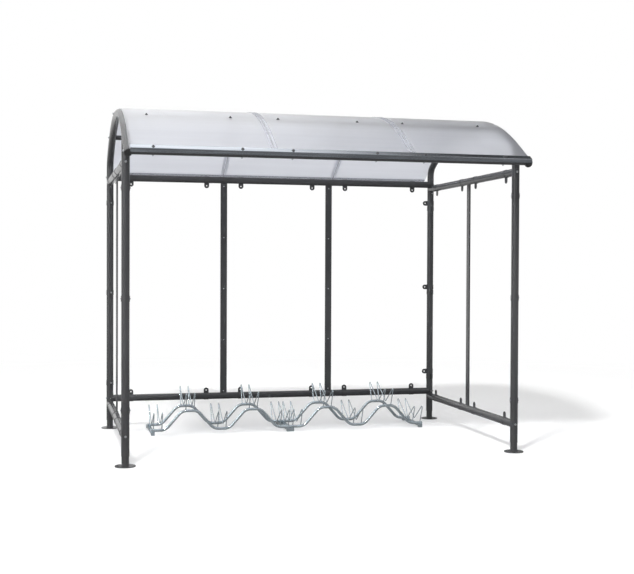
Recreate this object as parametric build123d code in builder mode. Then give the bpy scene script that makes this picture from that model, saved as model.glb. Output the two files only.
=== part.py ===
"""Open bicycle shelter: tube frame, arched translucent roof and two wave racks."""
import math
import os

from build123d import *

os.makedirs("parts", exist_ok=True)

# ---------------------------------------------------------------- main sizes (mm)
POST_X = 1508.0            # half the distance between the two side frames
DEPTH = 1980.0             # front post line to rear post line
FRONT_Y = -960.2           # front post line
REAR_Y = FRONT_Y + DEPTH   # rear post line
TUBE_R = 30.0              # posts, hoops and rails
FOOT_R = 27.5              # foot tube under each post
FOOT_TOP = 75.0
DISC_R = 76.0
DISC_T = 8.0
DISC_EDGE = 2.0            # rounding of the base plate's rim

# rails and uprights
SIDE_LOW_Z = 219.0
SIDE_HIGH_Z = 2196.0
BACK_LOW_Z = 267.0
BACK_HIGH_Z = 2237.0
UPRIGHTS_X = (-485.0, 502.0)
UPRIGHT_W = 60.0
UPRIGHT_T = 12.0

# arch of the roof, on the hoop's centre line
SLOPE = math.radians(31.5)
END_Y = FRONT_Y - 241.0
END_Z = 2238.0
ARCH_R = 1873.0
STRAIGHT = 281.0
BEND_R = 110.0
HOOP_FOOT_Z = 2150.0
CAP_R = TUBE_R - 1.0
CAP_H = 6.0
CAP_EDGE = 4.5             # rounding of the end cap's face

# roof covering
SHEET_T = 10.0
SHEET_ENDS = (-1502.0, 1512.0)
SHEET_FRONT = 6.0          # front edge of the sheets, up the slope from the hoop's end
JOINT_X = (-462.0, 590.0)
JOINT_GAP = 6.0
JOINT_W = 50.0
REAR_OVERHANG = 200.0
PURLIN_R = 20.0
PURLIN_STEP = 650.0
EAVE_R = 25.0
EAVE_RUN = 20.0
STRIP_ENDS = (-1494.0, 1526.0)
STRIP_FACE = 30.0
STRIP_T = 3.0
STRIP_COVER = 48.0
STRIP_NOSE = 4.0
STRIP_EDGE = 2.5           # rounding of the eave strip's nose
STRIP_SIT = 0.2            # gap under the eave strip's rear edge
STRIP_PLAY = 1.0           # gap between roof strips that meet
LIP = 30.0
LIP_T = 1.5

# clamps
BAND_T = 2.5
BAND_W = 42.0
LUG_R = 22.5
LUG_T = 5.0
LUG_REACH = 54.0
LUG_HOLE_R = 5.5
CLAMP_Z = (406.0, 1212.0, 2010.0)
CLAMP_STACK = 50.0         # step up to a second clamp on the same post
POST_TAB = 185.0
UPRIGHT_TAB = 158.0

# wave racks
RACK_X = 28.0
RACK_FRONT_Y = FRONT_Y + 1445.0
RACK_REAR_Y = RACK_FRONT_Y + 352.0
RACK_R = 12.5
RACK_LOW_Z = 43.0
RACK_RISE = 162.0
PLACES = 5                 # wheel places in one rack
PLACE_PITCH = 277.0
FLAT_SHARE = 0.24          # half a place's level stretch, as a share of the pitch
MODULE = 1220.0
WAVE_BEND = 95.0
SLOT_HALF = 36.0
WIRE_R = 4.0
WIRE_FRONT = (-82.0, 176.0)    # front peak (y, z) from the front tube
WIRE_VALLEY = (155.0, 20.0)    # valley (y, z) from the front tube
WIRE_REAR = (88.0, 188.0)      # rear peak (y, z) from the rear tube
WIRE_BEND = 12.0
BAR_W = 30.0
BAR_T = 18.0
BAR_INSET = 1.0            # rack tube past the outer face of its cross bar
BAR_FRONT = 14.0
BAR_REAR = 140.0
PAD = 42.0

# ---------------------------------------------------------------- derived points (y, z)
MIDDLE_Y = (FRONT_Y + REAR_Y) / 2
KNEE_Y = END_Y + STRAIGHT * math.cos(SLOPE)
KNEE_Z = END_Z + STRAIGHT * math.sin(SLOPE)
APEX_Y = KNEE_Y + ARCH_R * math.sin(SLOPE)
APEX_Z = KNEE_Z + ARCH_R * (1 - math.cos(SLOPE))
CENTRE_Z = APEX_Z - ARCH_R
BEND_Y = REAR_Y - BEND_R
BEND_Z = CENTRE_Z + math.sqrt((ARCH_R - BEND_R) ** 2 - (BEND_Y - APEX_Y) ** 2)


def save(part, name):
    """Label one piece and write it to its own file."""
    part.label = name
    export_step(part, f"parts/{name}.step")


def arch_at(y, lift=0.0):
    """Point (y, z) at a distance outside the hoop's centre line."""
    angle = math.asin((y - APEX_Y) / ARCH_R)
    reach = ARCH_R + lift
    return (APEX_Y + reach * math.sin(angle), CENTRE_Z + reach * math.cos(angle))


def slope_at(run, lift=0.0):
    """Point (y, z) up the front slope, at a distance outside the centre line."""
    y = END_Y + run * math.cos(SLOPE) - lift * math.sin(SLOPE)
    z = END_Z + run * math.sin(SLOPE) + lift * math.cos(SLOPE)
    return (y, z)


def mirror_y(point):
    """The same point on the rear slope."""
    return (2 * APEX_Y - point[0], point[1])


def bar_x(y, z, radius, x0, x1):
    """Round bar along X."""
    with BuildPart() as bar:
        with BuildSketch(Plane.YZ.offset(x0)):
            with Locations((y, z)):
                Circle(radius)
        extrude(amount=x1 - x0)
    return bar.part


def bar_y(x, z, radius, y0, y1):
    """Round bar along Y."""
    with BuildPart() as bar:
        with BuildSketch(Plane.XZ.offset(-y0)):
            with Locations((x, z)):
                Circle(radius)
        extrude(amount=-(y1 - y0))
    return bar.part


def bar_z(x, y, radius, z0, z1):
    """Round bar along Z."""
    with BuildPart() as bar:
        with BuildSketch(Plane.XY.offset(z0)):
            with Locations((x, y)):
                Circle(radius)
        extrude(amount=z1 - z0)
    return bar.part


# ---------------------------------------------------------------- feet and posts
def foot(x, y):
    """Round base plate with its rim eased and a short foot tube."""
    with BuildPart() as piece:
        with BuildSketch(Plane.XY):
            with Locations((x, y)):
                Circle(DISC_R)
        extrude(amount=DISC_T)
        fillet(piece.edges().group_by(Axis.Z)[-1], DISC_EDGE)
        with BuildSketch(Plane.XY.offset(DISC_T)):
            with Locations((x, y)):
                Circle(FOOT_R)
        extrude(amount=FOOT_TOP - DISC_T)
    return piece.part


def hoop_path(x):
    """Hoop's centre line: front slope, arch and the tight bend down to the post."""
    plane = Plane.YZ.offset(x)
    ratio = ARCH_R / (ARCH_R - BEND_R)
    bend_in = (APEX_Y + (BEND_Y - APEX_Y) * ratio, CENTRE_Z + (BEND_Z - CENTRE_Z) * ratio)
    with BuildLine(plane) as path:
        front = Line((END_Y, END_Z), (KNEE_Y, KNEE_Z))
        arch = TangentArc(front @ 1, bend_in, tangent=front % 1)
        bend = TangentArc(arch @ 1, (REAR_Y, BEND_Z), tangent=arch % 1)
        Line(bend @ 1, (REAR_Y, HOOP_FOOT_Z))
    return path.wires()[0]


def hoop(x):
    """Bent tube from the black end cap over the roof down to the rear post."""
    path = hoop_path(x)
    with BuildPart() as piece:
        with BuildSketch(Plane(origin=path @ 0, z_dir=path % 0)):
            Circle(TUBE_R)
        sweep(path=path)
    return piece.part


def rear_post(x):
    """Straight rear post from the foot to the hoop."""
    return bar_z(x, REAR_Y, TUBE_R, FOOT_TOP, HOOP_FOOT_Z)


def front_post(x):
    """Front post, its top coped to the underside of the hoop."""
    tube = bar_z(x, FRONT_Y, TUBE_R, FOOT_TOP, KNEE_Z)
    crossing = hoop(x)
    with BuildPart() as piece:
        add(tube)
        add(crossing, mode=Mode.SUBTRACT)
    return piece.solids().sort_by(Axis.Z)[0]


def end_cap(side):
    """Domed plug that closes the front end of a hoop."""
    path = hoop_path(side * POST_X)
    face = Plane(origin=path @ 0, z_dir=(path % 0) * -1)
    with BuildPart() as piece:
        with BuildSketch(face):
            Circle(CAP_R)
        extrude(amount=CAP_H)
        fillet(piece.edges().filter_by(GeomType.CIRCLE).sort_by(Axis.Y)[0], CAP_EDGE)
    return piece.part


# ---------------------------------------------------------------- rails and uprights
def coped(bar, crossings):
    """The bar with its ends cut to fit round the tubes that it meets."""
    with BuildPart() as piece:
        add(bar)
        add(crossings, mode=Mode.SUBTRACT)
    return piece.part


def post_piece(x, y, z):
    """Length of post round the height of a rail."""
    return bar_z(x, y, TUBE_R, z - 2 * TUBE_R, z + 2 * TUBE_R)


def back_rail(z):
    """Rail between the rear posts, both ends coped to the posts or the hoops."""
    bar = bar_x(REAR_Y, z, TUBE_R, -POST_X, POST_X)
    if z > HOOP_FOOT_Z:
        return coped(bar, [hoop(-POST_X), hoop(POST_X)])
    return coped(bar, [post_piece(-POST_X, REAR_Y, z), post_piece(POST_X, REAR_Y, z)])


def side_rail(x, z):
    """Rail between a front and a rear post, both ends coped to the posts."""
    bar = bar_y(x, z, TUBE_R, FRONT_Y, REAR_Y)
    return coped(bar, [post_piece(x, FRONT_Y, z), post_piece(x, REAR_Y, z)])


def flat_bar(x, y, width_x, width_y, low_z, high_z):
    """Flat bar along Z."""
    with BuildPart() as bar:
        with BuildSketch(Plane.XY.offset(low_z)):
            with Locations((x, y)):
                Rectangle(width_x, width_y)
        extrude(amount=high_z - low_z)
    return bar.part


def back_upright(x):
    """Flat bar between the two back rails, its ends coped to them."""
    bar = flat_bar(x, REAR_Y, UPRIGHT_W, UPRIGHT_T, BACK_LOW_Z, BACK_HIGH_Z)
    rails = [bar_x(REAR_Y, z, TUBE_R, x - UPRIGHT_W, x + UPRIGHT_W) for z in (BACK_LOW_Z, BACK_HIGH_Z)]
    return coped(bar, rails)


def side_upright(x, y):
    """Flat bar between the two rails of a side, its ends coped to them."""
    bar = flat_bar(x, y, UPRIGHT_T, UPRIGHT_W, SIDE_LOW_Z, SIDE_HIGH_Z)
    rails = [bar_y(x, z, TUBE_R, y - UPRIGHT_W, y + UPRIGHT_W) for z in (SIDE_LOW_Z, SIDE_HIGH_Z)]
    return coped(bar, rails)


# ---------------------------------------------------------------- roof
def purlin(y):
    """Roof tube between the hoops, level with their outer side."""
    point = arch_at(y, TUBE_R - PURLIN_R)
    inner = POST_X - TUBE_R
    return bar_x(point[0], point[1], PURLIN_R, -inner, inner)


def eave():
    """Front roof tube between the ends of the hoops."""
    point = slope_at(EAVE_RUN, TUBE_R - EAVE_R)
    inner = POST_X - TUBE_R
    return bar_x(point[0], point[1], EAVE_R, -inner, inner)


def covering(x0, x1, low, thick, front, rear):
    """Curved strip of roof covering, its ends at two distances up the slopes."""
    with BuildPart() as piece:
        with BuildSketch(Plane.YZ.offset(x0)):
            with BuildLine():
                start = slope_at(front, low)
                knee = slope_at(STRAIGHT, low)
                top = (APEX_Y, CENTRE_Z + ARCH_R + low)
                tail = mirror_y(slope_at(rear, low))
                Line(start, knee)
                ThreePointArc(knee, top, mirror_y(knee))
                Line(mirror_y(knee), tail)
                tail_up = mirror_y(slope_at(rear, low + thick))
                knee_up = slope_at(STRAIGHT, low + thick)
                top_up = (APEX_Y, CENTRE_Z + ARCH_R + low + thick)
                start_up = slope_at(front, low + thick)
                Line(tail, tail_up)
                Line(tail_up, mirror_y(knee_up))
                ThreePointArc(mirror_y(knee_up), top_up, knee_up)
                Line(knee_up, start_up)
                Line(start_up, start)
            make_face()
        extrude(amount=x1 - x0)
    return piece.part


def rear_run():
    """Distance up the mirrored slope where the covering ends behind the rear posts."""
    mirrored_end = 2 * APEX_Y - END_Y + TUBE_R * math.sin(SLOPE)
    return (mirrored_end - REAR_Y - REAR_OVERHANG) / math.cos(SLOPE)


def sheet(x0, x1):
    """One translucent roof sheet."""
    return covering(x0, x1, TUBE_R, SHEET_T, SHEET_FRONT, rear_run())


def joint_strip(x):
    """H-shaped strip that joins two roof sheets, swept over the whole arch."""
    web = JOINT_GAP / 2
    half = JOINT_W / 2
    front = STRIP_COVER + 2 * STRIP_PLAY
    rear = rear_run() + LIP + STRIP_PLAY
    core = covering(x - web, x + web, TUBE_R, SHEET_T, SHEET_FRONT, rear_run())
    cover = covering(x - half, x + half, TUBE_R + SHEET_T, STRIP_T, front, rear)
    with BuildPart() as piece:
        add(core)
        add(cover)
    return piece.part


def edge_profile():
    """Clear channel that closes the rear edge of the sheets."""
    end = rear_run()
    low = TUBE_R - LIP_T
    high = TUBE_R + SHEET_T + LIP_T
    outer = [(end - LIP_T, low), (end + LIP, low), (end + LIP, high), (end - LIP_T, high)]
    inner = [(end, TUBE_R), (end + LIP, TUBE_R)]
    inner += [(end + LIP, TUBE_R + SHEET_T), (end, TUBE_R + SHEET_T)]
    with BuildPart() as piece:
        with BuildSketch(Plane.YZ.offset(SHEET_ENDS[0])):
            with BuildLine():
                Polyline(*[mirror_y(slope_at(*corner)) for corner in outer], close=True)
            make_face()
            with BuildLine():
                Polyline(*[mirror_y(slope_at(*corner)) for corner in inner], close=True)
            make_face(mode=Mode.SUBTRACT)
        extrude(amount=SHEET_ENDS[1] - SHEET_ENDS[0])
    return piece.part


def eave_strip():
    """Angle strip that clamps the front edge of the sheets to the front roof tube."""
    low = TUBE_R + SHEET_T
    with BuildPart() as piece:
        with BuildSketch(Plane.YZ.offset(STRIP_ENDS[0])):
            with BuildLine():
                back_top = slope_at(STRIP_COVER, low + STRIP_T)
                nose = slope_at(-STRIP_NOSE, low + STRIP_T)
                toe = (nose[0], nose[1] - STRIP_FACE)
                heel = (toe[0] + STRIP_T, toe[1])
                inside_z = slope_at(-STRIP_NOSE, low)[1] + STRIP_T * math.tan(SLOPE)
                back_low = slope_at(STRIP_COVER, low + STRIP_SIT)
                Polyline(back_top, nose, toe, heel, (heel[0], inside_z), back_low, close=True)
            make_face()
        extrude(amount=STRIP_ENDS[1] - STRIP_ENDS[0])
        fillet(piece.edges().filter_by(Axis.X).sort_by(Axis.Y)[:2].sort_by(Axis.Z)[-1], STRIP_EDGE)
    return piece.part


# ---------------------------------------------------------------- clamps for infill panels
def clamp(plane):
    """Band round a tube along the plane's normal, with a rounded lug along its X."""
    root = TUBE_R + BAND_T / 2
    with BuildPart() as piece:
        with BuildSketch(plane.offset(-BAND_W / 2)):
            Circle(TUBE_R + BAND_T)
            Circle(TUBE_R, mode=Mode.SUBTRACT)
        extrude(amount=BAND_W)
        lug_plane = Plane(origin=plane.origin, x_dir=plane.x_dir, z_dir=plane.y_dir)
        with BuildSketch(lug_plane.offset(-LUG_T / 2)):
            with Locations((LUG_REACH, 0)):
                Circle(LUG_R)
            with Locations(((root + LUG_REACH) / 2, 0)):
                Rectangle(LUG_REACH - root, 2 * LUG_R)
            with Locations((LUG_REACH, 0)):
                Circle(LUG_HOLE_R, mode=Mode.SUBTRACT)
        extrude(amount=LUG_T)
    return piece.part


def post_clamps(x, y, toward, rise=0.0):
    """Three clamps up one post, lugs turned towards the bay they serve."""
    planes = [Plane(origin=(x, y, z + rise), x_dir=toward, z_dir=(0, 0, 1)) for z in CLAMP_Z]
    return [clamp(plane) for plane in planes]


def bay_positions(low, high, middle):
    """Positions of the clamps along a rail: two in each bay between the uprights."""
    stops = [low + POST_TAB]
    for centre in middle:
        stops += [centre - UPRIGHT_TAB, centre + UPRIGHT_TAB]
    return stops + [high - POST_TAB]


def back_clamps(z, up):
    """Clamps along one back rail."""
    places = bay_positions(-POST_X, POST_X, UPRIGHTS_X)
    planes = [Plane(origin=(x, REAR_Y, z), x_dir=(0, 0, up), z_dir=(1, 0, 0)) for x in places]
    return [clamp(plane) for plane in planes]


def side_clamps(x, z, up):
    """Clamps along one side rail."""
    places = bay_positions(FRONT_Y, REAR_Y, (MIDDLE_Y,))
    planes = [Plane(origin=(x, y, z), x_dir=(0, 0, up), z_dir=(0, 1, 0)) for y in places]
    return [clamp(plane) for plane in planes]


# ---------------------------------------------------------------- wave racks
def place_at(x0, place):
    """Centre along X and height of one wheel place, low and high in turn."""
    x = x0 + (place - PLACES // 2) * PLACE_PITCH
    return (x, RACK_LOW_Z + RACK_RISE * (place % 2))


def wave(x0, y):
    """Rack tube that steps between low and high places."""
    flat = PLACE_PITCH * FLAT_SHARE
    points = [(x0 - MODULE / 2, RACK_LOW_Z)]
    for place in range(PLACES):
        centre, level = place_at(x0, place)
        if place > 0:
            points.append((centre - flat, level))
        if place < PLACES - 1:
            points.append((centre + flat, level))
    points.append((x0 + MODULE / 2, RACK_LOW_Z))
    with BuildLine(Plane.XZ.offset(-y)) as path:
        FilletPolyline(*points, radius=WAVE_BEND)
    with BuildPart() as piece:
        with BuildSketch(Plane(origin=path.line @ 0, z_dir=path.line % 0)):
            Circle(RACK_R)
        sweep(path=path.line)
    return piece.part


def cross_bar(x):
    """Rack cross bar under both tubes, with a small pad at each end."""
    y0 = RACK_FRONT_Y - BAR_FRONT
    y1 = RACK_REAR_Y + BAR_REAR
    top = RACK_LOW_Z - RACK_R
    with BuildPart() as piece:
        with BuildSketch(Plane.XY.offset(top - BAR_T)):
            with Locations((x, (y0 + y1) / 2)):
                Rectangle(BAR_W, y1 - y0)
        extrude(amount=BAR_T)
        with BuildSketch(Plane.XY):
            with Locations((x, y0 + PAD / 2), (x, y1 - PAD / 2)):
                Rectangle(BAR_W, PAD)
        extrude(amount=top - BAR_T)
    return piece.part


def loop_wire(x, z):
    """M-shaped wire, its short peak leaning forward and its tall one back."""
    y0 = RACK_FRONT_Y
    y1 = RACK_REAR_Y
    tubes = [bar_x(y, z, RACK_R, x - 2 * RACK_R, x + 2 * RACK_R) for y in (y0, y1)]
    bends = [(y0, z), (y0 + WIRE_FRONT[0], z + WIRE_FRONT[1])]
    bends += [(y0 + WIRE_VALLEY[0], z + WIRE_VALLEY[1])]
    bends += [(y1 + WIRE_REAR[0], z + WIRE_REAR[1]), (y1, z)]
    with BuildLine(Plane.YZ.offset(x)) as path:
        FilletPolyline(*bends, radius=WIRE_BEND)
    with BuildPart() as piece:
        with BuildSketch(Plane(origin=path.line @ 0, z_dir=path.line % 0)):
            Circle(WIRE_R)
        sweep(path=path.line)
        add(tubes, mode=Mode.SUBTRACT)
    return piece.solids().sort_by(SortBy.VOLUME)[-1]


def loops(x0):
    """Ten wires of one rack, a pair at each place."""
    wires = []
    for place in range(PLACES):
        centre, level = place_at(x0, place)
        for side in (-1, 1):
            wires.append(loop_wire(centre + side * SLOT_HALF, level))
    return wires


# ---------------------------------------------------------------- write the pieces
SIDES = (("left", -1), ("right", 1))

for side_name, side in SIDES:
    x = side * POST_X
    save(foot(x, FRONT_Y), f"foot_front_{side_name}")
    save(foot(x, REAR_Y), f"foot_rear_{side_name}")
    save(front_post(x), f"post_front_{side_name}")
    save(rear_post(x), f"post_rear_{side_name}")
    save(hoop(x), f"hoop_{side_name}")
    save(side_rail(x, SIDE_LOW_Z), f"rail_{side_name}_low")
    save(side_rail(x, SIDE_HIGH_Z), f"rail_{side_name}_high")
    save(side_upright(x, MIDDLE_Y), f"upright_{side_name}")
    save(back_upright(UPRIGHTS_X[side > 0]), f"upright_back_{side_name}")
    save(Compound(children=post_clamps(x, FRONT_Y, (0, 1, 0))), f"clamps_front_{side_name}")
    rear_set = post_clamps(x, REAR_Y, (0, -1, 0))
    if side > 0:
        rear_set += post_clamps(x, REAR_Y, (-1, 0, 0), CLAMP_STACK)
    save(Compound(children=rear_set), f"clamps_rear_{side_name}")
    side_set = side_clamps(x, SIDE_LOW_Z, 1) + side_clamps(x, SIDE_HIGH_Z, -1)
    save(Compound(children=side_set), f"clamps_side_{side_name}")
    rack = RACK_X + side * MODULE / 2
    save(wave(rack, RACK_FRONT_Y), f"rack_{side_name}_front_tube")
    save(wave(rack, RACK_REAR_Y), f"rack_{side_name}_rear_tube")
    reach = MODULE / 2 - BAR_W / 2 - BAR_INSET
    bars = [cross_bar(rack - reach), cross_bar(rack + reach)]
    save(Compound(children=bars), f"rack_{side_name}_cross_bars")
    save(Compound(children=loops(rack)), f"rack_{side_name}_loops")

save(Compound(children=[end_cap(-1), end_cap(1)]), "hoop_end_caps")
save(back_rail(BACK_LOW_Z), "rail_back_low")
save(back_rail(BACK_HIGH_Z), "rail_back_high")
back_set = back_clamps(BACK_LOW_Z, 1) + back_clamps(BACK_HIGH_Z, -1)
save(Compound(children=back_set), "clamps_back")
save(eave(), "eave_tube")
save(eave_strip(), "eave_strip")
save(purlin(APEX_Y - PURLIN_STEP), "purlin_front")
save(purlin(APEX_Y), "purlin_ridge")
save(purlin(APEX_Y + PURLIN_STEP), "purlin_rear")
edges = (SHEET_ENDS[0],) + JOINT_X + (SHEET_ENDS[1],)
gap = JOINT_GAP / 2
save(sheet(edges[0], edges[1] - gap), "roof_sheet_left")
save(sheet(edges[1] + gap, edges[2] - gap), "roof_sheet_middle")
save(sheet(edges[2] + gap, edges[3]), "roof_sheet_right")
save(joint_strip(JOINT_X[0]), "joint_strip_left")
save(joint_strip(JOINT_X[1]), "joint_strip_right")
save(edge_profile(), "rear_edge_profile")
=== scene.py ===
"""Looks of the open bicycle shelter: finishes, fasteners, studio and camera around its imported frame."""

import logging
import math
from dataclasses import dataclass, field
from enum import Enum

import bmesh
import bpy
from mathutils import Matrix, Vector


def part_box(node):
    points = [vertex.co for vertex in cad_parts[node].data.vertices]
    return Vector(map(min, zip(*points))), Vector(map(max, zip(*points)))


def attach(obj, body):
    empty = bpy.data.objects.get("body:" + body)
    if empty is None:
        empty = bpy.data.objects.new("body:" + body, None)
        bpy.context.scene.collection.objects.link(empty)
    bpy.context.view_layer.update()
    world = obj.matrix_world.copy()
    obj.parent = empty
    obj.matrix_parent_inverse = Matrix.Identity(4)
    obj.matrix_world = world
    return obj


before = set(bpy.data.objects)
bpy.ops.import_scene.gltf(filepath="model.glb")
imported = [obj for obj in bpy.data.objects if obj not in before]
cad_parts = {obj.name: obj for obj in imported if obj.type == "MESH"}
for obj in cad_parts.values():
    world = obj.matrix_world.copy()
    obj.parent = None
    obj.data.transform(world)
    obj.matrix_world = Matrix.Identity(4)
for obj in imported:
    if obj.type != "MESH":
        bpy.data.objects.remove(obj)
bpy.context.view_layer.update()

LOG = logging.getLogger("shelter")
BODY = "root"
SIDES = {"left": -1, "right": 1}
LEVELS = ("low", "high")
ENDS = ("front", "rear")

Colour = tuple[float, float, float]
Point = tuple[float, float, float]
Ramp = tuple[float, ...]
Relief = tuple[float, float]
Place = Matrix
Socket = bpy.types.NodeSocket
Shape = bmesh.types.BMesh

WHITE: Colour = (1.0, 1.0, 1.0)
BULK: Ramp = (0.3, 0.7)  # part of a noise's range that holds most of its values
WELD_CREASE = 80.0
CREASE = 35.0


class Slot(Enum):
    """Material slots of the record."""

    FRAME = "frame"
    ZINC = "galvanised"


# ---------------------------------------------------------------- shared helpers
def rgba(colour: Colour) -> tuple[float, float, float, float]:
    """Colour with its fourth number."""
    return (*colour, 1.0)


def node_centre(node: str) -> Vector:
    """Middle of a CAD node's box."""
    low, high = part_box(node)
    return (low + high) / 2


def outer_x(node: str, side: int) -> float:
    """X of a CAD node's outermost face on one side."""
    low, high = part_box(node)
    return high.x if side > 0 else low.x


def placed(at: Vector, axis: Vector, turn: float = 0.0) -> Place:
    """Matrix that stands a fastener on a surface.

    Args:
        at: Point on the surface.
        axis: Direction out of the surface.
        turn: Turn about the axis, in radians.

    Returns:
        The matrix that takes the fastener's +Z to the axis.
    """
    lean = Vector((0, 0, 1)).rotation_difference(axis.normalized()).to_matrix().to_4x4()
    return Matrix.Translation(at) @ lean @ Matrix.Rotation(turn, 4, "Z")


def make_piece(name: str, bm: Shape, finish: "Finish", crease: float = CREASE) -> None:
    """Turn a bmesh into a finished piece that rides on the shelter.

    Args:
        name: Name of the piece.
        bm: Shape in the row frame, freed here.
        finish: Finish of the whole piece.
        crease: Angle in degrees past which an edge stays sharp.
    """
    bmesh.ops.remove_doubles(bm, verts=bm.verts, dist=1e-6)
    bmesh.ops.recalc_face_normals(bm, faces=bm.faces)
    mesh = bpy.data.meshes.new(name)
    bm.to_mesh(mesh)
    bm.free()
    mesh.polygons.foreach_set("use_smooth", [True] * len(mesh.polygons))
    mesh.set_sharp_from_angle(angle=math.radians(crease))
    mesh.materials.append(finish.material())
    piece = bpy.data.objects.new(name, mesh)
    bpy.context.scene.collection.objects.link(piece)
    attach(piece, BODY)
    LOG.info("built %s: %d faces", name, len(mesh.polygons))


def dress(stems: tuple[str, ...], finish: "Finish") -> None:
    """Give CAD nodes one finish.

    Args:
        stems: What the nodes' names start with.
        finish: Finish for all of them.
    """
    for node in [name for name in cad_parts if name.startswith(stems)]:
        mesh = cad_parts[node].data
        mesh.materials.clear()
        mesh.materials.append(finish.material())
        LOG.info("dressed %s in %s", node, finish.name)


# ---------------------------------------------------------------- finishes
class Nodes:
    """Node tree of one material, with short calls for what the finishes share."""

    def __init__(self, name: str, world: bpy.types.World | None = None) -> None:
        """Start an empty tree that has only its output.

        Args:
            name: Name of the material.
            world: World that takes the tree instead of a new material.
        """
        self.owner = world or bpy.data.materials.new(name)
        self.owner.use_nodes = True
        self.tree = self.owner.node_tree
        self.tree.nodes.clear()
        self.output = self.tree.nodes.new("ShaderNodeOutputWorld" if world else "ShaderNodeOutputMaterial")
        self.place = self.add("TexCoord").outputs["Object"]

    def add(self, kind: str, inputs: dict | None = None, **settings) -> bpy.types.Node:
        """Add a node.

        Args:
            kind: Node type after its ShaderNode prefix.
            inputs: Value or socket for each named or numbered input.
            **settings: Properties of the node itself.

        Returns:
            The new node.
        """
        node = self.tree.nodes.new("ShaderNode" + kind)
        for key, value in settings.items():
            setattr(node, key, value)
        for key, value in (inputs or {}).items():
            if isinstance(value, Socket):
                self.tree.links.new(value, node.inputs[key])
            else:
                node.inputs[key].default_value = value
        return node

    def noise(self, scale: float, detail: float = 3.0, stretch: Point = (1.0, 1.0, 1.0),
              rough: float = 0.5) -> Socket:
        """Noise over the object.

        Args:
            scale: Scale of the noise.
            detail: Octaves of detail.
            stretch: Further scale along each axis.
            rough: Strength of the finer octaves.

        Returns:
            Socket with a value from 0 to 1.
        """
        spread = self.add("Mapping", {"Vector": self.place, "Scale": stretch})
        texture = self.add("TexNoise", {"Vector": spread.outputs[0], "Scale": scale,
                                        "Detail": detail, "Roughness": rough})
        return texture.outputs["Fac"]

    def ranged(self, value: Socket, low: float, high: float,
               to_low: float = 0.0, to_high: float = 1.0) -> Socket:
        """Move a value from one range to another, held at its ends.

        Args:
            value: Socket with the value.
            low: Start of its range.
            high: End of its range.
            to_low: Result at the start.
            to_high: Result at the end.

        Returns:
            Socket with the result.
        """
        node = self.add("MapRange", {"Value": value, "From Min": low, "From Max": high,
                                     "To Min": to_low, "To Max": to_high})
        return node.outputs[0]

    def mixed(self, share: Socket, first: Colour | Socket, second: Colour | Socket) -> Socket:
        """Mix two colours.

        Args:
            share: Share of the second one.
            first: Colour or socket at a share of 0.
            second: Colour or socket at a share of 1.

        Returns:
            Socket with the colour.
        """
        ends = [rgba(c) if isinstance(c, tuple) else c for c in (first, second)]
        node = self.add("Mix", {0: share, 6: ends[0], 7: ends[1]}, data_type="RGBA")
        return node.outputs[2]

    def calc(self, operation: str, first: float | Socket, second: float | Socket = 0.0) -> Socket:
        """Result of one operation of the Math node."""
        return self.add("Math", {0: first, 1: second}, operation=operation).outputs[0]

    def between(self, share: float | Socket, first: float | Socket, second: float | Socket) -> Socket:
        """Number between two numbers."""
        return self.add("Mix", {0: share, 2: first, 3: second}).outputs[0]

    def split(self, vector: Socket) -> bpy.types.NodeOutputs:
        """X, Y and Z of a vector."""
        return self.add("SeparateXYZ", {0: vector}).outputs

    def bump(self, height: Socket, strength: float, distance: float) -> Socket:
        """Normal of a surface raised by a height."""
        return self.add("Bump", {"Height": height, "Strength": strength, "Distance": distance}).outputs[0]

    def blend(self, share: float | Socket, first: Socket, second: Socket) -> Socket:
        """Mix of two shaders."""
        return self.add("MixShader", {0: share, 1: first, 2: second}).outputs[0]

    def seen(self, path: bpy.types.Node) -> Socket:
        """1 for a ray from the camera, straight or through a clear piece."""
        return self.calc("MAXIMUM", path.outputs["Is Camera Ray"], path.outputs["Is Transmission Ray"])

    def done(self, shader: Socket) -> bpy.types.Material | bpy.types.World:
        """Link the shader to the output and return the material or world."""
        self.tree.links.new(shader, self.output.inputs["Surface"])
        return self.owner


@dataclass(frozen=True)
class Finish:
    """A finish by name. Its material is made once and shared."""

    name: str

    def material(self) -> bpy.types.Material:
        """Return the finish's material."""
        return bpy.data.materials.get(self.name) or self.make()

    def make(self) -> bpy.types.Material:
        """Build the material."""
        raise NotImplementedError


@dataclass(frozen=True)
class PowderCoat(Finish):
    """Anthracite powder coat with its fine peel, faint clouds and a film of dust near the ground."""

    name: str = "anthracite_powder_coat"
    dark: Colour = (0.048, 0.049, 0.052)
    light: Colour = (0.058, 0.059, 0.062)
    dust: Colour = (0.105, 0.102, 0.096)
    dust_height: float = 0.16
    dust_share: float = 0.30
    dust_patches: Ramp = (0.25, 0.8)
    roughness: Ramp = (0.20, 0.26)
    cloud_scale: float = 1.3
    wear_scale: float = 3.0
    patch_scale: float = 30.0
    peel_scale: float = 620.0
    peel_tops: Ramp = (0.45, 0.8)
    peel_share: float = 0.3
    peel_relief: Relief = (0.1, 0.0003)
    gloss: float = 0.42

    def make(self) -> bpy.types.Material:
        """Build the material.

        Returns:
            The material.
        """
        n = Nodes(self.name)
        peel = n.noise(self.peel_scale, 2.0)
        colour = n.mixed(n.ranged(n.noise(self.cloud_scale), *BULK), self.dark, self.light)
        tops = n.calc("MULTIPLY", n.ranged(peel, *self.peel_tops), self.peel_share)
        colour = n.mixed(tops, colour, self.light)
        low = n.ranged(n.split(n.place)["Z"], 0.0, self.dust_height, self.dust_share, 0.0)
        patches = n.ranged(n.noise(self.patch_scale, 4.0), *self.dust_patches)
        colour = n.mixed(n.calc("MULTIPLY", low, patches), colour, self.dust)
        rough = n.ranged(n.noise(self.wear_scale), *BULK, *self.roughness)
        coat = n.add("BsdfPrincipled", {"Base Color": colour, "Roughness": rough,
                                        "Normal": n.bump(peel, *self.peel_relief),
                                        "Specular IOR Level": self.gloss})
        return n.done(coat.outputs[0])


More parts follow.
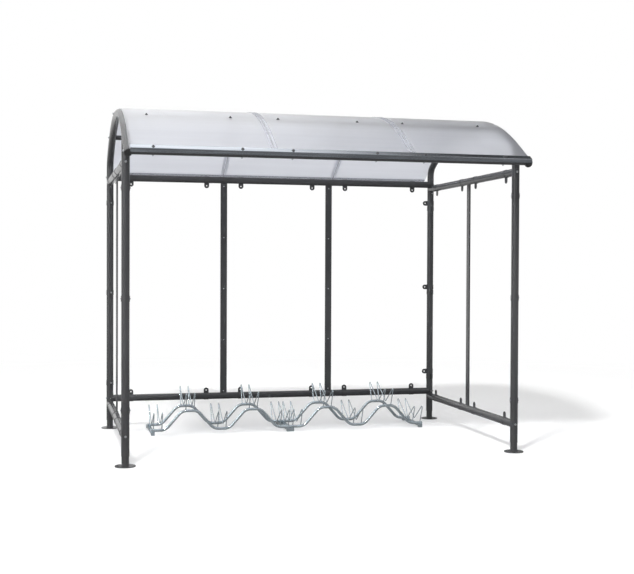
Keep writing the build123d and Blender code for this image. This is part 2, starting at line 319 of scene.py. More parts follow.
@dataclass(frozen=True)
class Galvanised(Finish):
    """Hot-dip zinc with its spangle, grey runs and dull patches."""

    name: str = "galvanised_zinc"
    bright: Colour = (0.60, 0.67, 0.71)
    dull: Colour = (0.33, 0.38, 0.41)
    spangle_scale: float = 95.0
    spangle_warp: float = 60.0
    spangle_tones: Ramp = (0.25, 0.75)
    run_scale: float = 24.0
    run_stretch: Point = (1.0, 1.0, 0.35)
    runs: Ramp = (0.55, 0.75, 0.0, 0.6)
    grain_scale: float = 260.0
    grain_relief: Relief = (0.25, 0.0005)
    metal: float = 0.9
    roughness: Ramp = (0.13, 0.26)

    def make(self) -> bpy.types.Material:
        """Build the material.

        Returns:
            The material.
        """
        n = Nodes(self.name)
        warp = n.add("VectorMath", {0: n.place, 1: n.noise(self.spangle_warp)}, operation="ADD")
        cell = n.add("TexVoronoi", {"Vector": warp.outputs[0], "Scale": self.spangle_scale})
        tone = n.add("SeparateColor", {0: cell.outputs["Color"]}).outputs[0]
        runs = n.noise(self.run_scale, 4.0, self.run_stretch)
        colour = n.mixed(n.ranged(tone, 0.0, 1.0, *self.spangle_tones), self.dull, self.bright)
        colour = n.mixed(n.ranged(runs, *self.runs), colour, self.dull)
        rough = n.ranged(tone, 0.0, 1.0, *self.roughness)
        normal = n.bump(n.noise(self.grain_scale), *self.grain_relief)
        zinc = n.add("BsdfPrincipled", {"Base Color": colour, "Roughness": rough, "Normal": normal,
                                        "Metallic": self.metal})
        return n.done(zinc.outputs[0])


@dataclass(frozen=True)
class BrightZinc(Finish):
    """Bright zinc plating on bolts, nuts and washers, a little dulled in places."""

    name: str = "bright_zinc"
    bright: Colour = (0.50, 0.51, 0.53)
    dull: Colour = (0.26, 0.27, 0.29)
    worn: Ramp = (0.4, 0.7)
    worn_scale: float = 210.0
    grain_scale: float = 480.0
    metal: float = 0.9
    roughness: Ramp = (0.3, 0.5)

    def make(self) -> bpy.types.Material:
        """Build the material.

        Returns:
            The material.
        """
        n = Nodes(self.name)
        worn = n.ranged(n.noise(self.worn_scale, 5.0), *self.worn)
        colour = n.mixed(worn, self.bright, self.dull)
        rough = n.ranged(n.noise(self.grain_scale, 2.0), *BULK, *self.roughness)
        plate = n.add("BsdfPrincipled", {"Base Color": colour, "Roughness": rough,
                                         "Metallic": self.metal})
        return n.done(plate.outputs[0])


@dataclass(frozen=True)
class Aluminium(Finish):
    """Mill-finished aluminium, drawn along X."""

    name: str = "mill_aluminium"
    bright: Colour = (0.50, 0.53, 0.58)
    dull: Colour = (0.33, 0.36, 0.40)
    roughness: Ramp = (0.15, 0.26)
    lines: Point = (1.2, 160.0, 160.0)
    line_tones: Ramp = (0.35, 0.65)
    line_relief: Relief = (0.12, 0.0004)
    bands: Point = (2.0, 40.0, 40.0)

    def make(self) -> bpy.types.Material:
        """Build the material.

        Returns:
            The material.
        """
        n = Nodes(self.name)
        lines = n.noise(1.0, 4.0, self.lines, 0.6)
        colour = n.mixed(n.ranged(lines, *self.line_tones), self.dull, self.bright)
        rough = n.ranged(n.noise(1.0, stretch=self.bands), *BULK, *self.roughness)
        metal = n.add("BsdfPrincipled", {"Base Color": colour, "Roughness": rough, "Metallic": 1.0,
                                         "Normal": n.bump(lines, *self.line_relief)})
        return n.done(metal.outputs[0])


@dataclass(frozen=True)
class Moulded(Finish):
    """Moulded black plastic or rubber with a fine grain and greyed high spots."""

    name: str = "black_moulding"
    colour: Colour = (0.012, 0.012, 0.013)
    grey: Colour = (0.045, 0.045, 0.047)
    roughness: Ramp = (0.38, 0.6)
    greyed: Ramp = (0.5, 0.8)
    grey_scale: float = 45.0
    grain_scale: float = 1300.0
    grain_relief: Relief = (0.3, 0.0003)

    def make(self) -> bpy.types.Material:
        """Build the material.

        Returns:
            The material.
        """
        n = Nodes(self.name)
        grain = n.noise(self.grain_scale)
        colour = n.mixed(n.ranged(n.noise(self.grey_scale, 5.0), *self.greyed), self.colour, self.grey)
        rough = n.ranged(grain, *BULK, *self.roughness)
        body = n.add("BsdfPrincipled", {"Base Color": colour, "Roughness": rough,
                                        "Normal": n.bump(grain, *self.grain_relief)})
        return n.done(body.outputs[0])


@dataclass(frozen=True)
class Polycarbonate(Finish):
    """Frosted polycarbonate sheet: what lies close behind it shows softly, and it is streaked along X."""

    name: str = "polycarbonate_sheet"
    tint: Colour = (0.81, 0.83, 0.893)
    shade: Colour = (0.735, 0.75, 0.808)
    through: Colour = (0.84, 0.85, 0.885)
    clear: Colour = (0.93, 0.94, 0.965)
    clear_share: float = 0.14
    glow_share: float = 0.08
    frost: float = 0.94
    bend: float = 1.25
    sheen: float = 1.6
    roughness: Ramp = (0.29, 0.37)
    rough_scale: float = 1.4
    streaks: Point = (0.35, 13.0, 13.0)
    streak_tones: Ramp = (0.35, 0.65)
    streak_relief: Relief = (0.2, 0.004)

    def make(self) -> bpy.types.Material:
        """Build the material. Its outer gloss is left off the back faces, which would shut the light in.

        Returns:
            The material.
        """
        n = Nodes(self.name)
        streak = n.noise(1.0, 4.0, self.streaks, 0.6)
        colour = n.mixed(n.ranged(streak, *self.streak_tones), self.shade, self.tint)
        rough = n.ranged(n.noise(self.rough_scale), *BULK, *self.roughness)
        normal = n.bump(streak, *self.streak_relief)
        skin = n.add("BsdfPrincipled", {"Base Color": colour, "Roughness": rough, "Normal": normal,
                                        "IOR": self.bend, "Transmission Weight": self.frost})
        passed = n.mixed(n.ranged(streak, *BULK), self.tint, self.through)
        glow = n.add("BsdfTranslucent", {"Color": passed})
        gloss = n.add("BsdfGlossy", {"Color": rgba(WHITE), "Roughness": rough, "Normal": normal})
        clear = n.add("BsdfTransparent", {"Color": rgba(self.clear)})
        body = n.blend(self.glow_share, skin.outputs[0], glow.outputs[0])
        facing = n.add("Fresnel", {"IOR": self.sheen, "Normal": normal}).outputs[0]
        outside = n.ranged(n.add("NewGeometry").outputs["Backfacing"], 0.0, 1.0, 1.0, 0.0)
        body = n.blend(n.calc("MULTIPLY", facing, outside), body, gloss.outputs[0])
        return n.done(n.blend(self.clear_share, body, clear.outputs[0]))


@dataclass(frozen=True)
class ClearProfile(Finish):
    """Clear extruded plastic that joins and closes the roof sheets; along its thick edges it is less clear
    and carries a paler painted highlight.
    """

    name: str = "clear_profile"
    tint: Colour = (0.58, 0.59, 0.63)
    clear: Colour = (0.97, 0.975, 0.985)
    # painted highlight colour along the ribs
    rib_highlight: Colour = (0.64, 0.65, 0.69)
    clear_share: float = 0.63
    rib_share: float = 0.54
    rib_inner: Ramp = (0.019, 0.023)
    rib_outer: Ramp = (0.025, 0.026, 1.0, 0.0)
    haze_scale: float = 6.0
    roughness: Ramp = (0.08, 0.2)

    def make(self) -> bpy.types.Material:
        """Build the material.

        Returns:
            The material.
        """
        n = Nodes(self.name)
        across = n.split(n.place)["X"]
        offsets = [n.calc("ABSOLUTE", n.calc("SUBTRACT", across, node_centre(f"joint_strip_{name}").x))
                   for name in SIDES]
        offset = n.calc("MINIMUM", *offsets)
        ribs_and_highlight = n.calc("MULTIPLY", n.ranged(offset, *self.rib_inner), n.ranged(offset, *self.rib_outer))
        rough = n.ranged(n.noise(self.haze_scale, 4.0), *BULK, *self.roughness)
        # The paler rib colour is a painted highlight for light caught by the profile's side walls; the
        # lower clear share there is the thicker plastic.
        colour = n.mixed(ribs_and_highlight, self.tint, self.rib_highlight)
        skin = n.add("BsdfPrincipled", {"Base Color": colour, "Roughness": rough})
        clear = n.add("BsdfTransparent", {"Color": rgba(self.clear)})
        share = n.ranged(ribs_and_highlight, 0.0, 1.0, self.clear_share, self.rib_share)
        return n.done(n.blend(share, skin.outputs[0], clear.outputs[0]))


# ---------------------------------------------------------------- fasteners
def lathe(bm: Shape, profile: list[tuple[float, float]], steps: int, place: Place) -> None:
    """Spin a profile of (radius, height) points once round +Z.

    Args:
        bm: Mesh that takes the shape.
        profile: Points from one end on the axis to the other.
        steps: Facets round the axis.
        place: Where the shape stands.
    """
    made = [bm.verts.new((radius, 0.0, height)) for radius, height in profile]
    edges = [bm.edges.new(pair) for pair in zip(made, made[1:])]
    spun = bmesh.ops.spin(bm, geom=made + edges, cent=(0, 0, 0), axis=(0, 0, 1),
                          angle=math.tau, steps=steps, use_merge=True)
    verts = {v for v in made if v.is_valid}
    verts |= {e for e in spun["geom_last"] if isinstance(e, bmesh.types.BMVert) and e.is_valid}
    grown = set(verts)
    while grown:
        grown = {e.other_vert(v) for v in grown for e in v.link_edges} - verts
        verts |= grown
    bmesh.ops.transform(bm, matrix=place, verts=list(verts))


def hexagon(bm: Shape, flats: float, height: float, ease: float, place: Place) -> None:
    """Stand a hexagonal prism with an eased top rim on a place.

    Args:
        bm: Mesh that takes the shape.
        flats: Width across flats.
        height: Height of the prism.
        ease: Size of the bevel on its rim.
        place: Where the shape stands.
    """
    radius = flats / math.sqrt(3)
    made = bmesh.ops.create_cone(bm, cap_ends=True, segments=6, radius1=radius, radius2=radius,
                                 depth=height, matrix=place @ Matrix.Translation((0, 0, height / 2)))
    up = (place.to_3x3() @ Vector((0, 0, 1))).normalized()
    top = max(up.dot(v.co) for v in made["verts"])
    rim = {e for v in made["verts"] for e in v.link_edges
           if all(top - up.dot(w.co) < 1e-5 for w in e.verts)}
    bmesh.ops.bevel(bm, geom=list(rim), offset=ease, segments=2, profile=0.5, affect="EDGES", material=-1)


@dataclass(frozen=True)
class Fastener:
    """A fastener, sizes in metres. It is added to a mesh once for each place."""

    def add(self, bm: Shape, place: Place) -> None:
        """Add one fastener at a place."""
        raise NotImplementedError


@dataclass(frozen=True)
class HexBolt(Fastener):
    """Hexagon bolt head on a flat washer."""

    flats: float = 0.013
    head: float = 0.0053
    washer: float = 0.0085
    washer_thick: float = 0.0016
    sunk: float = 0.002
    rim_share: float = 0.3
    ease_share: float = 0.14
    facets: int = 20

    def add(self, bm: Shape, place: Place) -> None:
        """Add one bolt head.

        Args:
            bm: Mesh that takes it.
            place: Where it stands.
        """
        rim = self.washer_thick * self.rim_share
        lathe(bm, [(0.0, -self.sunk), (self.washer, -self.sunk), (self.washer, self.washer_thick - rim),
                   (self.washer - rim, self.washer_thick), (0.0, self.washer_thick)],
              self.facets, place)
        seat = place @ Matrix.Translation((0, 0, self.washer_thick))
        hexagon(bm, self.flats, self.head, self.head * self.ease_share, seat)


@dataclass(frozen=True)
class ThreadedNut(HexBolt):
    """Nut on a washer, with the bolt's threaded end standing out of it."""

    thread: float = 0.004
    root_share: float = 0.85
    stands_out: float = 0.005
    turns: int = 4
    overlap: float = 0.001
    thread_facets: int = 14

    def add(self, bm: Shape, place: Place) -> None:
        """Add one nut and thread end.

        Args:
            bm: Mesh that takes it.
            place: Where it stands.
        """
        super().add(bm, place)
        start = self.washer_thick + self.head
        pitch = self.stands_out / self.turns
        root = self.thread * self.root_share
        profile = [(0.0, start - self.overlap), (root, start - self.overlap)]
        for turn in range(self.turns):
            profile += [(self.thread, start + pitch * (turn + 0.4)), (root, start + pitch * (turn + 0.9))]
        lathe(bm, profile + [(0.0, start + self.stands_out)], self.thread_facets, place)


@dataclass(frozen=True)
class RoofScrew(Fastener):
    """Hexagon screw on a domed sealing washer."""

    flats: float = 0.010
    head: float = 0.0065
    ease: float = 0.0008
    dome: float = 0.0125
    dome_edge: float = 0.0012
    dome_shoulder: float = 0.0026
    dome_rise: float = 0.0045
    sunk: float = 0.001
    facets: int = 22

    def add(self, bm: Shape, place: Place) -> None:
        """Add one roof screw.

        Args:
            bm: Mesh that takes it.
            place: Where it stands.
        """
        lathe(bm, [(0.0, -self.sunk), (self.dome, -self.sunk), (self.dome, self.dome_edge),
                   (self.dome * 0.9, self.dome_shoulder), (self.dome * 0.62, self.dome_rise),
                   (0.0, self.dome_rise)], self.facets, place)
        hexagon(bm, self.flats, self.head, self.ease, place @ Matrix.Translation((0, 0, self.dome_rise)))


@dataclass(frozen=True)
class PanScrew(Fastener):
    """Low round head with a dished recess, for the uprights and clamp bands."""

    radius: float = 0.0055
    height: float = 0.0032
    sunk: float = 0.001
    facets: int = 18
    shares: tuple[tuple[float, float], ...] = ((1.0, 0.35), (0.9, 0.75), (0.62, 1.0),
                                               (0.34, 1.0), (0.12, 0.45), (0.0, 0.4))

    def add(self, bm: Shape, place: Place) -> None:
        """Add one screw head.

        Args:
            bm: Mesh that takes it.
            place: Where it stands.
        """
        rounded = [(self.radius * out, self.height * up) for out, up in self.shares]
        lathe(bm, [(0.0, -self.sunk), (self.radius, -self.sunk)] + rounded, self.facets, place)


def fasten(name: str, kind: Fastener, places: list[Place], finish: Finish) -> None:
    """Make one piece of a set of like fasteners.

    Args:
        name: Name of the piece.
        kind: The fastener.
        places: Where each one stands.
        finish: Finish of the set.
    """
    bm = bmesh.new()
    for place in places:
        kind.add(bm, place)
    make_piece(name, bm, finish)


def bead(bm: Shape, ring: float, size: float, ripples: int, place: Place) -> None:
    """Rippled weld bead laid round a tube.

    Args:
        bm: Mesh that takes the bead.
        ring: Radius of the tube.
        size: Radius of the bead.
        ripples: Number of ripples round it.
        place: Where its ring lies.
    """
    corners, steps_each, ripple_depth, wander = 7, 3, 0.16, 0.08
    fresh = bmesh.new()
    made = [fresh.verts.new((ring + size * math.cos(a), 0.0, size * math.sin(a)))
            for a in [math.tau * k / corners for k in range(corners)]]
    edges = [fresh.edges.new((made[k], made[(k + 1) % corners])) for k in range(corners)]
    bmesh.ops.spin(fresh, geom=made + edges, cent=(0, 0, 0), axis=(0, 0, 1), angle=math.tau,
                   steps=ripples * steps_each, use_merge=True)
    for vert in fresh.verts:
        around = math.atan2(vert.co.y, vert.co.x)
        swell = 1.0 + ripple_depth * math.sin(ripples * around) + wander * math.sin(3.0 * around + 1.0)
        out = Vector((vert.co.x, vert.co.y, 0)).normalized() * ring
        vert.co = out + (vert.co - out) * swell
    bmesh.ops.transform(fresh, matrix=place, verts=fresh.verts)
    copy = bpy.data.meshes.new("bead")
    fresh.to_mesh(copy)
    fresh.free()
    bm.from_mesh(copy)
    bpy.data.meshes.remove(copy)


# ---------------------------------------------------------------- sub-assemblies
@dataclass
class Skeleton:
    """Lines of the shelter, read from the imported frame."""

    slope: float = math.radians(31.5)
    tube: float = 0.030
    sheet: float = 0.010
    clamp_turn: float = math.radians(13.5)
    post_x: float = field(init=False)
    front_y: float = field(init=False)
    rear_y: float = field(init=False)

    def __post_init__(self) -> None:
        """Read the positions of the posts."""
        front = node_centre("post_front_right")
        self.post_x = front.x
        self.front_y = front.y
        self.rear_y = node_centre("post_rear_right").y

    def slope_normal(self) -> Vector:
        """Direction out of the front slope of the roof."""
        return Vector((0.0, -math.sin(self.slope), math.cos(self.slope)))

    def turned_out(self) -> Vector:
        """Direction, a little to the right of the front, that the rear posts' screws face."""
        return Vector((math.sin(self.clamp_turn), -math.cos(self.clamp_turn), 0.0))

    def purlin_normal(self, node: str) -> Vector:
        """Direction out of the roof over a purlin.

        Args:
            node: The purlin's node.

        Returns:
            Unit vector square to the arch that runs through the ridge and the purlin.
        """
        ridge = node_centre("purlin_ridge")
        here = node_centre(node)
        across = here.y - ridge.y
        drop = ridge.z - here.z
        if abs(across) < 1e-4:
            return Vector((0, 0, 1))
        lean = 2 * math.copysign(math.atan2(drop, abs(across)), across)
        return Vector((0.0, math.sin(lean), math.cos(lean)))


@dataclass
class TubeFrame:
    """Posts, hoops, rails and uprights, with their bolts and welds."""

    lines: Skeleton
    steel: Finish = PowderCoat()
    zinc: Finish = BrightZinc()
    plastic: Finish = Moulded()
    screw_step: float = 0.467
    screw_count: int = 5
    back_first: float = 0.312
    side_first: float = 0.263
    splice_z: float = 2.154
    spanner_turns: tuple[float, float, float] = (0.3, 0.7, 0.2)
    plate_top: float = 0.008
    foot_weld_ring: float = 0.0285
    foot_weld: float = 0.0032
    foot_ripples: int = 34

    def build(self) -> None:
        """Build the bolts, screws and welds."""
        self.build_post_bolts()
        self.build_upright_screws()
        self.build_foot_welds()

    def build_post_bolts(self) -> None:
        """Bolts through the posts into the rails."""
        lines = self.lines
        front, rear, back = self.spanner_turns
        places = []
        for name in SIDES:
            x = node_centre(f"post_front_{name}").x
            for level in LEVELS:
                z = node_centre(f"rail_{name}_{level}").z
                for y, way, turn in ((lines.front_y, -1, front), (lines.rear_y, 1, rear)):
                    places.append(placed(Vector((x, y + way * lines.tube, z)), Vector((0, way, 0)), turn))
        fasten("bolts_side_rails", HexBolt(), places, self.zinc)
        places = []
        for name, side in SIDES.items():
            x = node_centre(f"post_rear_{name}").x
            for level in LEVELS:
                at = Vector((x + side * lines.tube, lines.rear_y, node_centre(f"rail_back_{level}").z))
                places.append(placed(at, Vector((side, 0, 0)), back))
        fasten("bolts_back_rails", HexBolt(), places, self.zinc)
        out = lines.turned_out()
        places = []
        for name in SIDES:
            post = node_centre(f"post_rear_{name}")
            for z in (self.splice_z, node_centre("rail_back_low").z):
                places.append(placed(Vector((post.x, post.y, z)) + out * lines.tube, out, z))
        fasten("screws_rear_posts", PanScrew(), places, self.zinc)

    def build_upright_screws(self) -> None:
        """Screws up the face of each flat upright."""
        places = []
        for name in SIDES:
            x, y = node_centre(f"upright_back_{name}").x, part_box(f"upright_back_{name}")[0].y
            for step in range(self.screw_count):
                at = Vector((x, y, self.back_first + step * self.screw_step))
                places.append(placed(at, Vector((0, -1, 0)), 0.5 * step))
        fasten("screws_back_uprights", PanScrew(), places, self.zinc)
        places = []
        for name, side in SIDES.items():
            x, y = outer_x(f"upright_{name}", side), node_centre(f"upright_{name}").y
            for step in range(self.screw_count):
                at = Vector((x, y, self.side_first + step * self.screw_step))
                places.append(placed(at, Vector((side, 0, 0)), 0.4 * step))
        fasten("screws_side_uprights", PanScrew(), places, self.zinc)

    def build_foot_welds(self) -> None:
        """Weld bead round each foot tube on its base plate."""
        bm = bmesh.new()
        for end in ENDS:
            for name in SIDES:
                middle = node_centre(f"foot_{end}_{name}")
                place = Matrix.Translation((middle.x, middle.y, self.plate_top))
                bead(bm, self.foot_weld_ring, self.foot_weld, self.foot_ripples, place)
        make_piece("welds_feet", bm, self.steel, WELD_CREASE)

    def dress(self) -> None:
        """Give the tubes their finish."""
        dress(("foot_", "post_", "hoop_left", "hoop_right", "rail_", "upright_", "purlin_", "eave_tube"),
              self.steel)
        dress(("hoop_end_caps",), self.plastic)


@dataclass
class PanelClamps:
    """Clamp bands with lugs for infill panels, and the screws that hold the bands."""

    lines: Skeleton
    steel: Finish = PowderCoat()
    zinc: Finish = BrightZinc()
    band_out: float = 0.0325
    heights: tuple[float, ...] = (0.406, 1.212, 2.010)
    stack: float = 0.050
    screw: Fastener = PanScrew(0.0065, 0.0045)

    def build(self) -> None:
        """Build the band screws."""
        lines = self.lines
        right, back, out = Vector((1, 0, 0)), Vector((0, 1, 0)), lines.turned_out()
        places = []
        for side in SIDES.values():
            for z in self.heights:
                front_post = Vector((side * lines.post_x, lines.front_y, z))
                rear_post = Vector((side * lines.post_x, lines.rear_y, z))
                seats = [(front_post, -right), (front_post, right), (rear_post, out), (rear_post, back)]
                if side > 0:
                    seats.append((rear_post + Vector((0, 0, self.stack)), back))
                places += [placed(post + way * self.band_out, way, z) for post, way in seats]
        fasten("screws_post_clamps", self.screw, places, self.zinc)

    def dress(self) -> None:
        """Give the clamps their finish."""
        dress(("clamps_",), self.steel)


@dataclass
class Roof:
    """Roof sheets, joint strips and eave strip, with their screws and bolts."""

    lines: Skeleton
    sheet: Finish = Polycarbonate()
    profile: Finish = ClearProfile()
    trim: Finish = Aluminium()
    zinc: Finish = BrightZinc()
    dark: Finish = Moulded("dark_washer", (0.03, 0.031, 0.036), (0.09, 0.09, 0.1))
    purlins: tuple[str, ...] = ("purlin_front", "purlin_ridge", "purlin_rear")
    purlin_radius: float = 0.020
    strip_thick: float = 0.0032
    screw_lines: tuple[float, ...] = (-1.333, -0.698, -0.328, 0.305, 0.676, 1.311)
    hoop_turn: float = 0.4

    def build(self) -> None:
        """Build the roof's fasteners."""
        self.build_purlin_screws()
        self.build_eave_bolts()
        self.build_hoop_bolts()

    def build_purlin_screws(self) -> None:
        """Screws through the sheets into the three purlins."""
        for node in self.purlins:
            out = self.lines.purlin_normal(node)
            seat = node_centre(node) + out * (self.purlin_radius + self.lines.sheet)
            places = [placed(Vector((x, seat.y, seat.z)), out, 5 * x) for x in self.screw_lines]
            fasten(f"screws_{node}", RoofScrew(), places, self.dark)

    def build_eave_bolts(self) -> None:
        """Bolts through the eave strip, sheets and eave tube, nuts below."""
        out = self.lines.slope_normal()
        low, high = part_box("eave_tube")
        middle, radius = (low + high) / 2, (high.z - low.z) / 2
        top = middle + out * (radius + self.lines.sheet + self.strip_thick)
        heads = [placed(Vector((x, top.y, top.z)), out, 3 * x) for x in self.screw_lines]
        fasten("bolts_eave", RoofScrew(), heads, self.dark)
        under = middle - out * radius
        nuts = [placed(Vector((x, under.y, under.z)), -out, 3 * x) for x in self.screw_lines]
        fasten("nuts_eave", ThreadedNut(), nuts, self.zinc)

    def build_hoop_bolts(self) -> None:
        """Bolts through the hoops into the ends of purlins and eave tube."""
        places = []
        for node in (*self.purlins, "eave_tube"):
            middle = node_centre(node)
            for name, side in SIDES.items():
                at = Vector((outer_x(f"hoop_{name}", side), middle.y, middle.z))
                places.append(placed(at, Vector((side, 0, 0)), self.hoop_turn))
        fasten("bolts_hoops", HexBolt(), places, self.zinc)

    def dress(self) -> None:
        """Give the roof its finishes."""
        dress(("roof_sheet_",), self.sheet)
        dress(("joint_strip_", "rear_edge_profile"), self.profile)
        dress(("eave_strip",), self.trim)


@dataclass
class WaveRacks:
    """Two galvanised wave racks with the welds of their wires and cross bars."""

    zinc: Finish = Galvanised()
    places: int = 5
    pitch: float = 0.277
    slot_half: float = 0.036
    rise: float = 0.162
    tube: float = 0.0125
    wire: float = 0.004
    front_way: tuple[float, float] = (-0.082, 0.176)
    rear_way: tuple[float, float] = (0.088, 0.188)
    wire_weld: float = 0.0021
    wire_ripples: int = 6
    bar_width: float = 0.030
    bar_weld: float = 0.0034
    bar_weld_share: float = 0.8
    bar_ripples: int = 12
    bar_seat: tuple[float, float] = (0.0085, 0.0012)

    def build(self) -> None:
        """Build the welds of each rack."""
        for name in SIDES:
            bm = bmesh.new()
            self.add_wire_welds(bm, name)
            self.add_bar_welds(bm, name)
            make_piece(f"welds_rack_{name}", bm, self.zinc, WELD_CREASE)

    def add_wire_welds(self, bm: Shape, name: str) -> None:
        """Bead where each wire leaves its tube.

        Args:
            bm: Mesh that takes the beads.
            name: Side of the rack.
        """
        for end, way in (("front", self.front_way), ("rear", self.rear_way)):
            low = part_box(f"rack_{name}_{end}_tube")[0].z + self.tube
            middle = node_centre(f"rack_{name}_{end}_tube")
            out = Vector((0.0, way[0], way[1])).normalized()
            for place in range(self.places):
                x = middle.x + (place - self.places // 2) * self.pitch
                z = low + self.rise * (place % 2)
                for side in SIDES.values():
                    seat = Vector((x + side * self.slot_half, middle.y, z)) + out * self.tube
                    bead(bm, self.wire, self.wire_weld, self.wire_ripples, placed(seat, out, x))

    def add_bar_welds(self, bm: Shape, name: str) -> None:
        """Short bead on both sides of each tube where it stands on a cross bar.

        Args:
            bm: Mesh that takes the beads.
            name: Side of the rack.
        """
        low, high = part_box(f"rack_{name}_cross_bars")
        length = self.bar_width * self.bar_weld_share
        profile = [(0.0, -length / 2)]
        for step in range(1, self.bar_ripples):
            share = step / self.bar_ripples
            swell = self.bar_weld * math.sin(math.pi * share) ** 0.4
            profile.append((swell * (1.0 + 0.12 * (-1) ** step), length * (share - 0.5)))
        profile.append((0.0, length / 2))
        for end in ENDS:
            y = node_centre(f"rack_{name}_{end}_tube").y
            for x in (low.x + self.bar_width / 2, high.x - self.bar_width / 2):
                for way in SIDES.values():
                    seat = Vector((x, y + way * self.bar_seat[0], high.z + self.bar_seat[1]))
                    lathe(bm, profile, 8, placed(seat, Vector((1, 0, 0))))

    def dress(self) -> None:
        """Give the racks their finish."""
        dress(("rack_",), self.zinc)


# ---------------------------------------------------------------- studio
@dataclass(frozen=True)
class Sky:
    """Soft even sky, plain white to the camera. Each ramp runs along X, Y or Z of the direction.

    Gloss sees it white beyond the shelter on the left, and before it dim, with one bright panel.
    """

    even: float = 0.65
    beyond_level: Ramp = (-0.02, 0.3, 1.0, 0.25)
    beyond_above: Ramp = (0.18, 0.32, 1.8, 0.07)
    beyond_rise: Ramp = (0.45, 0.7)
    before_level: Ramp = (-0.6, 0.4, 0.35, 0.15)
    before_above: float = 1.1
    before_rise: Ramp = (0.25, 0.5)
    panel_left: Ramp = (-0.92, -0.8, 0.0, 3.0)
    panel_right: Ramp = (-0.7, -0.58, 1.0, 0.0)
    depth: Ramp = (-0.3, 0.2)

    def build(self) -> None:
        """Build the world. Light that has bounced off a matt surface never sees the camera's white."""
        world = bpy.data.worlds.new("studio")
        bpy.context.scene.world = world
        n = Nodes("sky", world)
        path = n.add("LightPath")
        straight = n.ranged(path.outputs["Diffuse Depth"], 0.0, 1.0, 1.0, 0.0)
        seen = n.calc("MULTIPLY", n.seen(path), straight)
        way = n.split(n.add("TexCoord").outputs["Generated"])
        beyond = n.between(n.ranged(way["Z"], *self.beyond_rise), n.ranged(way["X"], *self.beyond_level),
                           n.ranged(way["X"], *self.beyond_above))
        panel = n.calc("MULTIPLY", n.ranged(way["X"], *self.panel_left),
                       n.ranged(way["X"], *self.panel_right))
        room = n.calc("ADD", n.ranged(way["X"], *self.before_level), panel)
        before = n.between(n.ranged(way["Z"], *self.before_rise), room, self.before_above)
        gloss = n.between(n.ranged(way["Y"], *self.depth), before, beyond)
        strength = n.between(seen, n.between(path.outputs["Is Glossy Ray"], self.even, gloss), 1.0)
        n.done(n.add("Background", {"Color": rgba(WHITE), "Strength": strength}).outputs[0])


@dataclass(frozen=True)
class Floor:
    """Plain pale floor that takes the shelter's shadow and turns plain white further out."""

    half: float = 60.0
    tone: Ramp = (0.86, 0.88)
    tone_scale: float = 0.8
    bounce: float = 0.32
    lift: float = 0.13
    gloss_lift: float = 0.08
    reach: Ramp = (5.2, 8.5)

    def build(self) -> None:
        """Build the floor. It is darker to the light that bounces off it than to the camera."""
        bm = bmesh.new()
        bmesh.ops.create_grid(bm, x_segments=2, y_segments=2, size=self.half)
        mesh = bpy.data.meshes.new("floor")
        bm.to_mesh(mesh)
        bm.free()
        n = Nodes("floor_pale")
        path = n.add("LightPath")
        seen = n.seen(path)
        tone = n.between(seen, self.bounce, n.ranged(n.noise(self.tone_scale, 2.0), *BULK, *self.tone))
        paint = n.add("CombineColor", {0: tone, 1: tone, 2: tone}).outputs[0]
        matt = n.add("BsdfDiffuse", {"Color": paint}).outputs[0]
        extra = n.calc("ADD", n.calc("MULTIPLY", seen, self.lift),
                       n.calc("MULTIPLY", path.outputs["Is Glossy Ray"], self.gloss_lift))
        lift = n.add("Emission", {"Color": rgba(WHITE), "Strength": extra})
        near = n.add("AddShader", {0: matt, 1: lift.outputs[0]}).outputs[0]
        far = n.add("Emission", {"Color": rgba(WHITE), "Strength": 1.0}).outputs[0]
        distance = n.add("VectorMath", {0: n.place}, operation="LENGTH").outputs["Value"]
        mesh.materials.append(n.done(n.blend(n.ranged(distance, *self.reach), near, far)))
        floor = bpy.data.objects.new("floor", mesh)
        bpy.context.scene.collection.objects.link(floor)


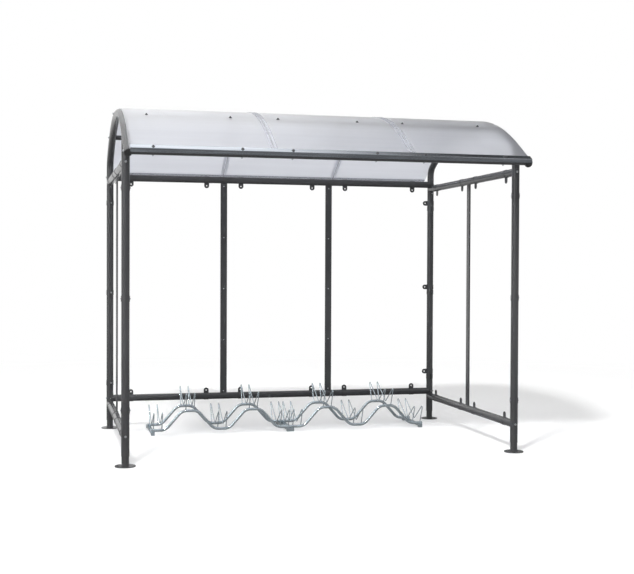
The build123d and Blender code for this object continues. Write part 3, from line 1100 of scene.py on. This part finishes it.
@dataclass(frozen=True)
class Lamp:
    """Round soft lamp aimed at the middle of the shelter, its width in metres and its power in watts."""

    name: str
    start: Point
    width: float
    power: float
    shadow: bool = True
    even: bool = False
    aim: Point = (0.0, 0.0, 1.2)

    def build(self) -> None:
        """Build the lamp. An even one is as strong on the far ground as on the near."""
        light = bpy.data.lights.new(self.name, "AREA")
        light.shape = "DISK"
        light.size = self.width
        light.energy = self.power
        light.use_shadow = self.shadow
        if self.even:
            light.use_nodes = True
            nodes = light.node_tree.nodes
            falloff = nodes.new("ShaderNodeLightFalloff")
            falloff.inputs["Strength"].default_value = 1.0
            light.node_tree.links.new(falloff.outputs["Constant"], nodes["Emission"].inputs["Strength"])
        holder = bpy.data.objects.new(self.name, light)
        holder.location = self.start
        holder.rotation_euler = (Vector(self.aim) - Vector(self.start)).to_track_quat("-Z", "Y").to_euler()
        bpy.context.scene.collection.objects.link(holder)


@dataclass
class Studio:
    """Sky, floor, lamps and the camera. The focal length counts in the same units as the image's width."""

    sky: Sky = Sky()
    floor: Floor = Floor()
    key: Lamp = Lamp("key", (-3.7, -6.9, 9.2), 1.4, 6.2, even=True)
    fill: Lamp = Lamp("fill", (-5.0, -3.5, 5.0), 3.0, 110.0, shadow=False)
    width: int = 634
    focal: float = 1109.717
    sensor: float = 36.0
    clip: float = 300.0
    stand: Point = (-2.0632, -9.0443, 1.4392)
    yaw: float = 0.23953
    pitch: float = -0.01718
    roll: float = -0.00412

    def build(self) -> None:
        """Build the floor, the light and the camera."""
        for part in (self.floor, self.sky, self.key, self.fill):
            part.build()
        self.build_camera()
        bpy.context.scene.view_settings.view_transform = "Standard"

    def build_camera(self) -> None:
        """Camera at the height of a person, a little to the left of the open front."""
        lens = bpy.data.cameras.new("camera")
        lens.sensor_width = self.sensor
        lens.lens = self.focal / self.width * self.sensor
        lens.clip_end = self.clip
        camera = bpy.data.objects.new("camera", lens)
        level = Matrix.Rotation(-self.yaw, 4, "Z") @ Matrix.Rotation(math.pi / 2 + self.pitch, 4, "X")
        camera.matrix_world = Matrix.Translation(self.stand) @ level @ Matrix.Rotation(-self.roll, 4, "Z")
        bpy.context.scene.collection.objects.link(camera)
        bpy.context.scene.camera = camera


def main() -> None:
    """Build and dress the shelter, then its studio."""
    logging.basicConfig(level=logging.INFO, format="%(name)s: %(message)s")
    lines = Skeleton()
    for part in (TubeFrame(lines), PanelClamps(lines), Roof(lines), WaveRacks()):
        part.build()
        part.dress()
    Studio().build()


if __name__ == "__main__":
    main()
